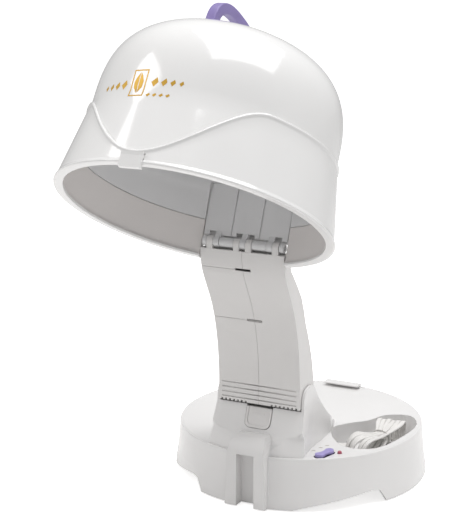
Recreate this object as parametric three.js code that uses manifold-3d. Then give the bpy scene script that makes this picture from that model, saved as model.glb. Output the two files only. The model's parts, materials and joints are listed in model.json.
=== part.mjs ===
// Folding table-top hood hair dryer: a round base with the blower and heater, a hollow
// banana-shaped arm that carries the warm air, and a deep hard hood on a knuckle hinge.
// Millimetres, +Z up, the front of the base faces -Y. Everything is built around the
// base's centre line and the whole group is then moved so that the origin is at the
// middle of the bounding box's foot.
import * as THREE from 'three';
import { mergeVertices } from 'three/addons/utils/BufferGeometryUtils.js';
import Module from 'manifold-3d';

const wasm = await Module();
wasm.setup();

// ---------------------------------------------------------------- driving dimensions
const GAP = 0.3;                 // between touching pieces
const WALL = 2.6;                // moulded wall
const FRAME_Y = 140.84;          // base centre to the middle of the footprint, front to back

const FOOT_R = 170;              // base wall at its lower edge
const DECK_R = 164;              // base wall at the deck
const DECK_Z = 68;               // deck height
const WALL_Z = 2;                // lower edge of the base wall, rubber feet below it
const FLOOR_Z = 22;              // underside of the bottom cover
const FOOT_CIRCLE = 143;         // rubber feet lie on this radius

const FOLD_PIVOT = { y: -103, z: 114 };   // arm fold axis, along X
const KNUCKLE = { y: -178, z: 344 };      // hood hinge axis, along X
const ARM_HALF = 56.5;           // half the arm's width
const CHEEK_IN = 57.3;           // inner face of the pedestal cheeks
const DRUM_R = 18;               // lower end of the arm, round the fold axis
const SADDLE_Z = 79.2;           // floor between the cheeks that the folded arm lies over
const PIN_R = 2.2;
const BARREL_R = 6.5;

const HOOD_Y = -309;             // centre of the hood's rim
const HOOD_Z = 400;
const HOOD_TILT = 31.5;          // front of the hood up, degrees
const HOOD_R = 161.3;            // outer radius at the rim
const SHOULDER_R = 145.5;        // radius where the straight side ends
const SHOULDER_H = 90.5;
const APEX_H = 214.3;
const DOME_POWER = 3.12;         // roundness of the dome above the shoulder
const BAND_H = 92;               // top edge of the skirt, level round the sides and back
const BAND_DIP = 16;             // and where it dips at the front
const DIP_ANGLE = 50;            // degrees from the front where the dip ends
const LINER_GAP = 6.6;           // liner behind the hood's outer surface at the rim
const HANDLE = { y: -18, half: 62, top: 247, foot: 196, round: 2.6, width: 12 };
const HOOD_SIDES = 44;           // facets round every shell of the hood

const WELL_FLOOR = 38;           // cord well
const CORD_R = 3;                // half the width of the flat cord
const HANK = { r: 124, half: 21, from: 63, to: 100, z0: 38.4, z1: 76 };

// ---------------------------------------------------------------- shape helpers
const rad = THREE.MathUtils.degToRad;
const V2 = (x, y) => new THREE.Vector2(x, y);
const V3 = (x, y, z) => new THREE.Vector3(x, y, z);

/** Point on a circle round the base centre, the angle measured from the front towards +X. */
const polar = (r, deg) => V2(r * Math.sin(rad(deg)), -r * Math.cos(rad(deg)));

function signedVolume(position, index) {
  let six = 0;
  const [a, b, c] = [V3(), V3(), V3()];
  for (let i = 0; i < index.count; i += 3) {
    a.fromBufferAttribute(position, index.getX(i));
    b.fromBufferAttribute(position, index.getX(i + 1));
    c.fromBufferAttribute(position, index.getX(i + 2));
    six += a.dot(b.cross(c));
  }
  return six;
}

/** A closed geometry as a solid for joining and cutting. */
function solid(source) {
  const bare = source.clone();
  bare.deleteAttribute('normal');
  bare.deleteAttribute('uv');
  const geometry = mergeVertices(bare, 1e-4);
  const { index } = geometry;
  const triVerts = Uint32Array.from(index.array);
  if (signedVolume(geometry.attributes.position, index) < 0) {
    for (let i = 0; i < triVerts.length; i += 3) {
      [triVerts[i], triVerts[i + 1]] = [triVerts[i + 1], triVerts[i]];
    }
  }
  const vertProperties = Float32Array.from(geometry.attributes.position.array);
  return new wasm.Manifold(new wasm.Mesh({ numProp: 3, vertProperties, triVerts }));
}

function geometryOf(body) {
  const { vertProperties, triVerts, numProp } = body.getMesh();
  const points = new Float32Array((vertProperties.length / numProp) * 3);
  for (let i = 0; i < points.length / 3; i += 1) {
    for (let k = 0; k < 3; k += 1) points[i * 3 + k] = vertProperties[i * numProp + k];
  }
  const geometry = new THREE.BufferGeometry();
  geometry.setAttribute('position', new THREE.BufferAttribute(points, 3));
  geometry.setIndex(new THREE.BufferAttribute(Uint32Array.from(triVerts), 1));
  geometry.computeVertexNormals();
  return geometry;
}

const box = (x0, x1, y0, y1, z0, z1) => solid(
  new THREE.BoxGeometry(x1 - x0, y1 - y0, z1 - z0)
    .translate((x0 + x1) / 2, (y0 + y1) / 2, (z0 + z1) / 2),
);

/** Upright lathe body from [radius, height] pairs. */
function turned(profile, segments = 24) {
  const points = profile.map(([r, h]) => V2(r, h));
  return solid(new THREE.LatheGeometry(points, segments).rotateX(Math.PI / 2));
}

const post = (r, z0, z1, x, y, segments = 16) => turned(
  [[0, z0], [r, z0], [r, z1], [0, z1]], segments,
).translate([x, y, 0]);

/** Rod along X. */
const rodX = (r, x0, x1, y, z, segments = 16) => post(r, x0, x1, 0, 0, segments)
  .rotate([0, 90, 0]).translate([0, y, z]);

function extruded(points, depth) {
  const shape = points instanceof THREE.Shape ? points
    : new THREE.Shape(points.map(([a, b]) => V2(a, b)));
  return new THREE.ExtrudeGeometry(shape, { depth, bevelEnabled: false, curveSegments: 8 });
}

/** Outline in plan, from z0 up to z1. */
const plan = (points, z0, z1) => solid(extruded(points, z1 - z0).translate(0, 0, z0));

/** Side outline of [y, z] pairs, from x0 to x1. */
function side(points, x0, x1) {
  const turn = new THREE.Matrix4().makeBasis(V3(0, 1, 0), V3(0, 0, 1), V3(1, 0, 0));
  return solid(extruded(points, x1 - x0).applyMatrix4(turn).translate(x0, 0, 0));
}

/** Front outline of [x, z] pairs, from y0 back to y1. */
function front(points, y0, y1) {
  const turn = new THREE.Matrix4().makeBasis(V3(1, 0, 0), V3(0, 0, 1), V3(0, -1, 0));
  return solid(extruded(points, y1 - y0).applyMatrix4(turn).translate(0, y1, 0));
}

const union = (...bodies) => bodies.reduce((all, body) => all.add(body));
const cut = (body, ...tools) => tools.reduce((rest, tool) => rest.subtract(tool), body);
const mirrorX = (body) => body.mirror([1, 0, 0]);

/** [a, b] pairs along a smooth curve through the given ones. */
function smooth(pairs, divisions, closed = false) {
  const curve = new THREE.CatmullRomCurve3(pairs.map(([a, b]) => V3(a, b, 0)), closed);
  const points = curve.getPoints(divisions).map((p) => [p.x, p.y]);
  return closed ? points.slice(0, -1) : points;
}

/** [a, b] pairs on an arc, angles in degrees from the +a direction. */
function arc(a, b, r, from, to, steps) {
  return Array.from({ length: steps + 1 }, (_, i) => {
    const t = rad(from + ((to - from) * i) / steps);
    return [a + r * Math.cos(t), b + r * Math.sin(t)];
  });
}

// ---------------------------------------------------------------- finishes
const finish = (color, roughness, metalness = 0) => (
  new THREE.MeshStandardMaterial({ color, roughness, metalness }));
const white = finish(0xf1f0ef, 0.28);
const innerWhite = finish(0xb9b6b4, 0.5);
const violet = finish(0x8f84b8, 0.4);
const darkGrey = finish(0x3c3c40, 0.6);
const lampRed = finish(0x7d1f2c, 0.2);
const rubber = finish(0x6b6b6b, 0.85);
const steel = finish(0xb8babd, 0.35, 0.9);
const copper = finish(0xb87844, 0.4, 0.9);
const mica = finish(0xcfc6a8, 0.6);
const cordWhite = finish(0xe9e7e4, 0.45);

const dryer = new THREE.Group();
dryer.position.y = FRAME_Y;
const hood = new THREE.Group();
hood.position.set(0, HOOD_Y, HOOD_Z);
hood.rotation.x = -rad(HOOD_TILT);
dryer.add(hood);

function place(group, name, body, material) {
  const mesh = new THREE.Mesh(geometryOf(body), material);
  mesh.name = name;
  group.add(mesh);
}

// ---------------------------------------------------------------- base
/** Side outline of the pedestal: sloping front, cheeks and the rear sweep to the deck. */
function pedestalSide() {
  return [[-158, 60], ...smooth([[-158, 69], [-147, 84], [-138, 102], [-130, 123]], 6),
    [-129, 139], ...smooth([[-123.5, 149], [-110, 152.5], [-98, 150], [-85, 133],
      [-59, 107], [-25, 83], [6, 69]], 12), [6, 60]];
}

/** Front outline of the pedestal, a little wider at its foot. */
function pedestalFront() {
  const right = [[67.6, 60], [66.8, 69], [65, 84], [63, 100], [61, 123], [60.3, 154]];
  return [...right, ...right.map(([x, z]) => [-x, z]).reverse()];
}

/** Plan outline of the pedestal, drawn in towards the rear. */
function pedestalPlan() {
  const right = [[70, -160], [67, -143], [64, -130], [61.8, -112], [60.5, -98], [60.4, -70],
    [59.4, -40], [57.9, -28], [52, -8], [46, 9]];
  return [...right, ...right.map(([x, y]) => [-x, y]).reverse()];
}

const wellOutline = (grow = 0) => {
  const bean = smooth([[55, -20], [80, -68], [108, -82], [135, -68], [151, -8],
    [151, 42], [131, 71], [100, 58], [88, 28], [70, 8]], 30, true);
  const [cx, cy] = [105, -10];
  return bean.map(([x, y]) => {
    const d = Math.hypot(x - cx, y - cy);
    return [x + ((x - cx) / d) * grow, y + ((y - cy) / d) * grow];
  });
};

const GLAND = { x: 115.5, y: 64.5, z: 47, turn: -66, reach: 16 };
const SWITCH = { x: 85, y: -119, turn: -17 };
const LAMP = { x: 100.5, y: -106 };

const atGland = (body) => body.rotate([0, 0, GLAND.turn])
  .translate([GLAND.x, GLAND.y, GLAND.z]);

/** Stadium along Y, round the origin. */
function stadium(half, r, steps = 6) {
  return [...arc(0, half, r, 0, 180, steps), ...arc(0, -half, r, 180, 360, steps)];
}

/** Height of a cut-out in the foot of the wall, t from 0 to 1 along it. */
function swirlHeight(t) {
  const rise = 18 * Math.min(t / 0.8, 1) ** 0.8;
  const roundEnd = Math.min(Math.max(t - 0.84, 0) / 0.16, 1);
  return WALL_Z + 0.02 + rise * Math.sqrt(1 - roundEnd ** 2);
}

/** One of the four swirl cut-outs in the foot of the wall: a slow rise and a round end. */
function swirlCut(startDeg) {
  const steps = 12;
  const spread = 44;
  const ts = Array.from({ length: steps + 1 }, (_, i) => i / steps);
  const top = ts.map((t) => [t, swirlHeight(t)]);
  const outline = [...top, ...ts.map((t) => [t, -1]).reverse()];
  const bent = extruded(outline, 24);
  const p = bent.attributes.position;
  for (let i = 0; i < p.count; i += 1) {
    const at = polar(FOOT_R - 14 + p.getZ(i), startDeg + p.getX(i) * spread);
    p.setXYZ(i, at.x, at.y, p.getY(i));
  }
  return solid(bent);
}

/** Housing in front of the pedestal that the hood's tab snaps over. */
function latchHousing() {
  const outline = [[-160, WALL_Z], [-175, WALL_Z], ...smooth([[-175, 70], [-173, 77],
    [-166, 86], [-156, 91.5], [-143, 92]], 8), [-143, 60], [-160, 60]];
  const blank = side(outline, -30, 30);
  const taper = front([[-28.5, 0], [28.5, 0], [25.5, 70], [24, 86], [18, 94], [-18, 94],
    [-24, 86], [-25.5, 70]], -180, -140);
  return blank.intersect(taper);
}

function baseShell() {
  const wallProfile = [[0, WALL_Z], [FOOT_R, WALL_Z], [FOOT_R - 0.6, 12], [FOOT_R - 3.2, 30],
    [DECK_R + 0.4, 58], [DECK_R, DECK_Z - 2], [DECK_R - 1.2, DECK_Z + 0.4],
    [DECK_R - 3.2, DECK_Z + 1], [DECK_R - 5.5, DECK_Z], [0, DECK_Z]];
  const cavityProfile = [[0, 0], [FOOT_R - WALL, 0], [FOOT_R - WALL - 0.6, 12],
    [FOOT_R - WALL - 3.2, 30], [DECK_R - WALL, 58], [DECK_R - WALL - 0.6, DECK_Z - WALL],
    [0, DECK_Z - WALL]];
  const pedestal = side(pedestalSide(), -80, 80).intersect(front(pedestalFront(), -160, 8))
    .intersect(plan(pedestalPlan(), 50, 160));
  const behindFront = turned([[0, 60], [155.2, 60], [155.2, 69], [147.2, 90], [187, 200], [0, 200]],
    40);
  const armSpace = side([[-154.5, 71], [-144, 85], [-135.2, 103], [-126.8, 121], [-126.8, 123.6],
    [-150, 123.6], [-150, 160], [20, 160], [20, SADDLE_Z], [-68, SADDLE_Z], [-84, 84.5],
    [-84, DECK_Z], [-154.5, DECK_Z]], -CHEEK_IN, CHEEK_IN)
    .intersect(behindFront);
  const frontRound = turned([[0, 60], [158, 60], [158, 69], [150, 90], [190, 200], [0, 200]], 48);
  const shell = cut(turned(wallProfile, 72), turned(cavityProfile, 36));
  const tub = plan(wellOutline(WALL), WELL_FLOOR - WALL, DECK_Z - 1);
  const latchPocket = box(-15, 15, -167, -156.5, WALL_Z, DECK_Z - 1);
  const pedestalBody = cut(pedestal.intersect(frontRound), turned(cavityProfile, 36));
  return cut(
    union(shell, pedestalBody, tub, latchHousing(), latchPocket),
    armSpace,
    plan(wellOutline(0), WELL_FLOOR, DECK_Z + 20),
    box(-12.2, 12.2, -180, -159.5, -1, 66.5),
    box(-12.2, 12.2, -180, -165.5, 66, 71.5),
    side([[-172, 72], [-163, 82], [-150, 88], [-150, 69.5], [-172, 69.5]], -12.2, 12.2),
    box(-39, 39, -124, -84.6, 60, 75),
    box(-50, 50, -80, -24, 60, SADDLE_Z - WALL),
    box(-4, 4, -134, -122, 96, 104),
    rodX(4.5, -59, 59, FOLD_PIVOT.y, FOLD_PIVOT.z, 12),
    plan([[-18.3, 200], [-18.3, 0], ...arc(-10.3, -12, 8, 180, 270, 4),
      ...arc(10.3, -12, 8, 270, 360, 4), [18.3, 0], [18.3, 200]], -26, 10)
      .rotate([90, 0, 0]).translate([0, -150, 116]),
    plan(stadium(10, 7.3), 50, 80).rotate([0, 0, SWITCH.turn]).translate([SWITCH.x, SWITCH.y, 0]),
    post(3.1, 50, 80, LAMP.x, LAMP.y, 12),
    atGland(rodX(4.6, -12, 8, 0, 0, 12)),
    atGland(rodX(6.7, -14, -4.2, 0, 0, 12)),
    ...[20.5, 110.5, 200.5, 290.5].map(swirlCut),
  );
}


const SCREW_CIRCLE = 118;        // cover screws
const SCREW_DEGS = [-38, 38, -142, 142];

/** Flat cover under the base with the air intake and four hollow foot bosses. */
function bottomCover() {
  const disc = post(DECK_R - 2, FLOOR_Z, FLOOR_Z + 2.4, 0, 0, 48);
  const bosses = [0, 90, 180, 270].map((deg) => {
    const at = polar(FOOT_CIRCLE, deg);
    return post(11, 3.4, FLOOR_Z + 1, at.x, at.y);
  });
  const hollows = [0, 90, 180, 270].map((deg) => {
    const at = polar(FOOT_CIRCLE, deg);
    return post(8.5, 6, FLOOR_Z + 5, at.x, at.y);
  });
  const slots = Array.from({ length: 9 }, (_, i) => {
    const x = (i - 4) * 7;
    const half = Math.sqrt(34 ** 2 - x ** 2);
    return box(x - 1.6, x + 1.6, -half, half, FLOOR_Z - 1, FLOOR_Z + 4)
      .translate([BLOWER.x, BLOWER.y, 0]);
  });
  const screwHoles = SCREW_DEGS.map((deg) => {
    const at = polar(SCREW_CIRCLE, deg);
    return post(2.2, FLOOR_Z - 1, FLOOR_Z + 4, at.x, at.y, 12);
  });
  return cut(union(disc, ...bosses), box(-30, 30, -170, -155.5, 0, 40), ...hollows, ...slots,
    ...screwHoles);
}

const BLOWER = { x: -37, y: 42, r: 60, z0: 27, z1: 62 };
const OUTLET_HALF = 23;          // half width of the blower's outlet, centred on x = 0

/** Snail housing of the blower, open below and at the end of its outlet. */
function blowerScroll() {
  const { x, y, r, z0, z1 } = BLOWER;
  const outer = union(post(r, z0, z1, x, y, 32),
    box(-OUTLET_HALF - 2, OUTLET_HALF, -86, y, z0, z1));
  const inner = union(post(r - 2, z0 + 2, z1 - 2, x, y, 32),
    box(-OUTLET_HALF, OUTLET_HALF - 2, -90, y, z0 + 2, z1 - 2));
  return cut(outer, inner, post(33, z0 - 1, z0 + 3, x, y, 24), post(6, z1 - 3, z1 + 1, x, y, 12));
}

function blowerMotor() {
  return turned([[0, 37], [16, 37], [17, 38], [17, 57.5], [15, 59.7], [0, 59.7]], 20)
    .translate([BLOWER.x, BLOWER.y, 0]).subtract(post(1.9, 30, 50, BLOWER.x, BLOWER.y, 10));
}

/** Squirrel-cage wheel with its hub, spokes and shaft. */
function fanWheel() {
  const ring = (z0, z1) => turned([[36, z0], [47, z0], [47, z1], [36, z1], [36, z0]], 24);
  const hub = union(post(9, 31, 36, 0, 0), post(1.5, 33, 49.5, 0, 0, 8));
  const spokes = [0, 60, 120].map((deg) => box(-37, 37, -2.4, 2.4, 31.2, 33.4).rotate([0, 0, deg]));
  const blades = Array.from({ length: 12 }, (_, i) => (
    box(37, 46.4, -0.8, 0.8, 32, 56).rotate([0, 0, 32])
      .translate([0, -18, 0]).rotate([0, 0, (i * 360) / 12])));
  return union(ring(31, 33.5), ring(54.5, 57), hub, ...spokes, ...blades)
    .translate([BLOWER.x, BLOWER.y, 0]);
}

/** Upright duct from the blower's outlet to the foot of the arm. */
function riserDuct() {
  const outer = box(-37, 37, -122.5, -87, 28, 103);
  const inner = box(-35, 35, -120.5, -89, 30, 105);
  const inlet = box(-OUTLET_HALF + 1, OUTLET_HALF - 3, -90, -80, 30, 59);
  const drumRoom = rodX(DRUM_R + 2, -60, 60, FOLD_PIVOT.y, FOLD_PIVOT.z, 24);
  const armRoom = box(-60, 60, -102, -80, 87.4, 110);
  return cut(outer, inner, inlet, drumRoom, armRoom);
}

function heaterFrame() {
  return union(box(-0.8, 0.8, -78, -18, 32.5, 56.5), box(-12, 12, -78, -18, 43.7, 45.3));
}

/** Resistance wire wound round the mica cross. */
function heaterCoil() {
  const turns = 5;
  const steps = turns * 10;
  const points = Array.from({ length: steps + 1 }, (_, i) => {
    const t = (i / 10) * Math.PI * 2;
    return V3(15.6 * Math.cos(t), -74 + (52 * i) / steps, 44.5 + 14.6 * Math.sin(t));
  });
  const section = new THREE.Shape(arc(0, 0, 0.9, 0, 300, 5).map(([a, b]) => V2(a, b)));
  return solid(new THREE.ExtrudeGeometry(section, {
    steps, bevelEnabled: false, extrudePath: new THREE.CatmullRomCurve3(points),
  }));
}

/** Bimetal safety disc on the mica cross, under the coil's front end. */
function thermalCutout() {
  return union(post(5, 45.6, 48.6, 6.4, -60, 14), post(3.6, 48, 50, 6.4, -60, 12));
}

function rearHook() {
  return side([[150, DECK_Z + GAP], [155.8, DECK_Z + GAP], [156.4, 73.2], [155, 74.4],
    [143.4, 74.4], [142, 73.6], [142, 72], [151.5, 71.6], [151.5, 71], [150, 69.5]], -26, 26);
}

// ---------------------------------------------------------------- controls
function releaseButton() {
  const u = [[-17.6, 5.5], [-17.6, -11.6], ...arc(-10, -11.6, 7.6, 180, 270, 4),
    ...arc(10, -11.6, 7.6, 270, 360, 4), [17.6, 5.5]];
  const inset = u.map(([x, z]) => [x * 0.84, z < -3 ? z * 0.84 : 9]);
  const blank = front(u, -160, -110).translate([0, 0, 116]);
  const dish = front(inset, -160, -110).translate([0, 0, 116]);
  const face = smooth([[-158, 69], [-147, 84], [-138, 102], [-130, 123]], 6);
  const slab = (outer, inner) => side([...face.map(([y, z]) => [y - outer, z]),
    ...face.map(([y, z]) => [y - inner, z]).reverse()], -30, 30);
  const plate = blank.intersect(slab(0.9, -2.6));
  const bolt = box(-8, 8, -134, DRUM_BOLT_Y, 109, 114);
  return union(cut(plate, dish.intersect(slab(2, 0))), bolt);
}
const DRUM_BOLT_Y = -125.6;      // tip of the lock bolt, just clear of the drum

/** Return spring between the button and the riser duct at its pressed length, along Y. */
function buttonSpring() {
  const perTurn = 8;
  const steps = 4 * perTurn;
  const points = Array.from({ length: steps + 1 }, (_, i) => {
    const t = (i / perTurn) * Math.PI * 2;
    return V3(2.4 * Math.cos(t), -132.3 + (9 * i) / steps, 100 + 2.4 * Math.sin(t));
  });
  const section = new THREE.Shape(arc(0, 0, 0.4, 0, 288, 4).map(([a, b]) => V2(a, b)));
  return solid(new THREE.ExtrudeGeometry(section, {
    steps, bevelEnabled: false, extrudePath: new THREE.CatmullRomCurve3(points),
  }));
}

/** Rocker cap, a bone-shaped plan with a short stem. */
function switchCap() {
  const bone = [...arc(0, 9, 6.2, 20, 160, 6), [-4.4, 3], [-4.4, -3],
    ...arc(0, -9, 6.2, 200, 340, 6), [4.4, -3], [4.4, 3]];
  return union(plan(bone, 67.5, 72), box(-3, 3, -5, 5, 60.5, 68));
}

function switchBody() {
  return cut(box(-7.5, 7.5, -13.4, 13.4, 48, 63), box(-3.8, 3.8, -6.6, 6.6, 56, 64));
}

function lampLens() {
  return turned([[0, 60], [2.8, 60], [2.8, 69.6], [2, 70.8], [0.8, 71.4], [0, 71.4]], 12)
    .translate([LAMP.x, LAMP.y, 0]);
}

// ---------------------------------------------------------------- cord
function strainRelief() {
  return atGland(turned([[0, -9], [6.2, -9], [6.2, -4.6], [4.2, -4.6], [4.2, 1.4], [5.6, 1.4],
    [5.6, 3], [3.7, GLAND.reach], [0, GLAND.reach]], 12).rotate([0, 90, 0]));
}

const hankPoint = (deg, offset) => {
  const at = polar(HANK.r + offset, deg);
  return [at.x, at.y];
};

/** Outer shape of the folded and tied cord, an outline with round ends. */
function cordHank() {
  const along = (offset, from, to) => Array.from({ length: 7 }, (_, i) => (
    hankPoint(from + ((to - from) * i) / 6, offset)));
  const cap = (deg, from) => {
    const [x, y] = hankPoint(deg, 0);
    return arc(x, y, HANK.half, deg + from, deg + from + 180, 6).slice(1, -1);
  };
  const outline = [...along(HANK.half, HANK.from, HANK.to), ...cap(HANK.to, -90),
    ...along(-HANK.half, HANK.to, HANK.from), ...cap(HANK.from, 90)];
  return plan(outline, HANK.z0, HANK.z1);
}

/** The short stretch of cord from the strain relief to the hank. */
function cordLead() {
  const points = [0.3, 1.3, 2.3, 3.3].map((reach) => V3(GLAND.reach + reach, 0, 0)
    .applyAxisAngle(V3(0, 0, 1), rad(GLAND.turn)).add(V3(GLAND.x, GLAND.y, GLAND.z)));
  const section = new THREE.Shape(arc(0, 0, CORD_R, 0, 315, 7).map(([a, b]) => V2(a, b)));
  return solid(new THREE.ExtrudeGeometry(section, {
    steps: 3, bevelEnabled: false, extrudePath: new THREE.CatmullRomCurve3(points),
  }));
}

const PLUG = { x: 74.5, y: -34, z: 45.2, turn: 112 };
const atPlug = (body) => body.rotate([0, 0, PLUG.turn]).translate([PLUG.x, PLUG.y, PLUG.z]);

/** Moulded two-pin plug lying beside the hank. */
function plugBody() {
  const outline = [[-19, -4], [-11, -5.5], [-6, -9.4], [7, -9.4], [8, -8.4], [8, 8.4],
    [7, 9.4], [-6, 9.4], [-11, 5.5], [-19, 4]];
  return cut(atPlug(plan(outline, -6.8, 6.8)), ...[-1, 1].map((s) => plugBlade(s, 0.4)));
}

function plugBlade(s, grow = 0) {
  return atPlug(box(2, 22, s * 6.35 - 0.8 - grow, s * 6.35 + 0.8 + grow, -3.1 - grow, 3.1 + grow));
}

// ---------------------------------------------------------------- arm
const armFront = smooth([[-134.6, 126.6], [-134, 150], [-134.8, 172], [-139, 207], [-149, 245],
  [-159, 268], [-173, 293], [-181, 310], [-184.2, 325], [-184.6, 336]], 16);
const armRear = smooth([[-167.5, 336], [-164.5, 316], [-147, 294], [-128.5, 268],
  [-118.5, 239], [-106, 211], [-95.5, 180], [-90, 150], [-88.6, 127]], 14);

/** Hollow half of the arm on the +X side, with its drum end, grooves and hinge ears. */
function armShell(left) {
  const { y, z } = FOLD_PIVOT;
  const drum = arc(y, z, DRUM_R, 35, -175, 12);
  const outline = [...armFront, ...armRear, ...drum, [-123.4, 122], [-124.4, 126]];
  const inside = [...armFront.map(([a, b]) => [a + WALL, b]), [-181.5, 340], [-170, 340],
    ...armRear.map(([a, b]) => [a - WALL, b]), ...arc(y, z, DRUM_R - WALL, 35, -150, 10)];
  const grooves = [151, 144.5, 138, 132].map((h) => box(-2, 52, -140, -133, h - 0.8, h + 0.8));
  const airWay = box(-2, 34, y - 11, y + 11, z - 22, z);
  const slots = [[-185, -178.5, 312.5], [-153, -145, 240]].map(([y0, y1, h]) => (
    box(-2, 10.5, y0, y1, h - 1.6, h + 1.6)));
  const bootLine = [312.5, 240].map((h) => (
    side(armFront.map(([a, b]) => [a + 0.7, b]).concat([[-200, 336], [-200, 120]]), 8, 60)
      .intersect(box(9, 60, -200, -130, h - 0.5, h + 0.5))));
  const teeth = Array.from({ length: 7 }, (_, i) => (
    box(17 + i * 5.6, 19.6 + i * 5.6, -140, -131.4, 124, 128.8)));
  const ears = [[4.1, 12], [40.1, 48.2]].map(([x0, x1]) => union(
    rodX(BARREL_R, x0, x1, KNUCKLE.y, KNUCKLE.z),
    box(x0, x1, KNUCKLE.y - BARREL_R, KNUCKLE.y - BARREL_R + 4, 333, KNUCKLE.z),
  ));
  const body = cut(
    union(cut(side(outline, GAP / 2, ARM_HALF), side(inside, -5, ARM_HALF - WALL)), ...ears),
    rodX(PIN_R + 0.3, -60, 60, KNUCKLE.y, KNUCKLE.z, 12),
    rodX(4.6, 50, 60, y, z, 12),
    airWay, ...grooves, ...slots, ...teeth, ...(left ? bootLine : []),
  );
  return left ? mirrorX(body) : body;
}

/** Stub axle from a blind hole in a cheek into the arm. */
function foldAxle(s) {
  const axle = rodX(4.2, 50.4, 58.7, FOLD_PIVOT.y, FOLD_PIVOT.z, 16);
  return s < 0 ? mirrorX(axle) : axle;
}

// ---------------------------------------------------------------- hood, in its own frame
/** Outer radius of the hood at height h above its rim. */
function hoodRadius(h) {
  if (h <= SHOULDER_H) return HOOD_R - ((HOOD_R - SHOULDER_R) * h) / SHOULDER_H;
  const t = (h - SHOULDER_H) / (APEX_H - SHOULDER_H);
  return SHOULDER_R * (1 - Math.min(t, 1) ** DOME_POWER) ** (1 / DOME_POWER);
}

/** [radius, height] pairs of the hood's surface moved inwards, from h0 to its apex. */
function domeProfile(inset, h0, apexInset, steps) {
  const h1 = APEX_H - apexInset;
  const scale = h1 / APEX_H;
  const sides = [h0, (h0 + SHOULDER_H) / 2].map((h) => [hoodRadius(h) - inset, h]);
  const crown = Array.from({ length: steps }, (_, i) => {
    const a = (Math.PI / 2) * (i / steps);
    const h = SHOULDER_H + (APEX_H - SHOULDER_H) * Math.sin(a) ** 0.9;
    const fade = hoodRadius(h) / SHOULDER_R;
    return [Math.max(hoodRadius(h) - inset * fade, 2), h * scale];
  });
  return [...sides, ...crown, [0, h1]];
}

/** Height of the skirt's wavy top edge, by the angle from the hood's front. */
function bandEdge(deg) {
  const t = Math.min(Math.abs(deg) / DIP_ANGLE, 1);
  return BAND_DIP + (BAND_H - BAND_DIP) * t * t * (3 - 2 * t);
}

const NOTCH_H = 27.6;      // notch at the back of the rim where the arm comes in
const rearNotch = (half, h1, y0 = 110) => box(-half, half, y0, 175, -10, h1);

function hoodDome() {
  const outer = domeProfile(0.8, 6, 0.6, 9);
  const inner = domeProfile(3.1, 6, 2.9, 8);
  return cut(turned([...outer, ...inner.reverse(), outer[0]], HOOD_SIDES), rearNotch(57.6, NOTCH_H));
}

/** Overlapping skirt with its rolled rim and the bead along its wavy top edge. */
function hoodSkirt() {
  // [outwards from the dome, share of the local height]
  const section = [[-9, 0], [1.2, 0], [1.9, 0.02], [1.9, 0.06], [1.0, 0.09], [0.9, 0.9],
    [2.1, 0.925], [2.5, 0.96], [2.1, 0.99], [1.2, 1], [-0.5, 1], [-0.5, 0.06], [-9, 0.06], [-9, 0]];
  const rows = section.map(([, share]) => V2(100, share * 100));
  const lathe = new THREE.LatheGeometry(rows, HOOD_SIDES).rotateX(Math.PI / 2);
  const p = lathe.attributes.position;
  for (let i = 0; i < p.count; i += 1) {
    const [offset, share] = section[i % section.length];
    const azimuth = Math.atan2(p.getX(i), -p.getY(i));
    const top = bandEdge(THREE.MathUtils.radToDeg(azimuth));
    const low = 3.2;                       // the rolled rim keeps its height all round
    const h = share <= 0.09 ? (share / 0.06) * low : top - (1 - share) * 36;
    const height = share <= 0.09 ? h : Math.max(h, (low * 1.6));
    const r = hoodRadius(height) + offset;
    p.setXYZ(i, r * Math.sin(azimuth), -r * Math.cos(azimuth), height);
  }
  return cut(solid(lathe), rearNotch(57.6, NOTCH_H), box(-13.6, 13.6, -175, -158.4, -10, 12.2));
}

function innerBand() {
  const profile = [[hoodRadius(3.6) - 3.8, 3.6], [hoodRadius(46) - 3.8, 46],
    [hoodRadius(46) - 6.2, 46], [hoodRadius(3.6) - 6.2, 3.6]];
  return cut(turned([...profile, profile[0]], HOOD_SIDES), rearNotch(57.4, 60));
}

/** Inner dome that the warm air comes through, with its ring of outlet holes. */
function hoodLiner() {
  const outer = domeProfile(LINER_GAP - 1.8, 46.4, 12, 7);
  const inner = domeProfile(LINER_GAP, 46.4, 13.8, 6);
  const holes = Array.from({ length: 12 }, (_, i) => (
    rodX(5, 90, 160, 0, 0, 8).rotate([0, -38, 0]).rotate([0, 0, i * 30 + 15]).translate([0, 0, 60])));
  return cut(turned([...outer, ...inner.reverse(), outer[0]], HOOD_SIDES), rearNotch(57.4, 92, 90),
    ...holes);
}

/** Hinge pin in the hood's own frame. */
const PIN = (() => {
  const [dy, dz] = [KNUCKLE.y - HOOD_Y, KNUCKLE.z - HOOD_Z];
  const t = rad(HOOD_TILT);
  return { y: dy * Math.cos(t) - dz * Math.sin(t), z: dy * Math.sin(t) + dz * Math.cos(t) };
})();

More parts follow.
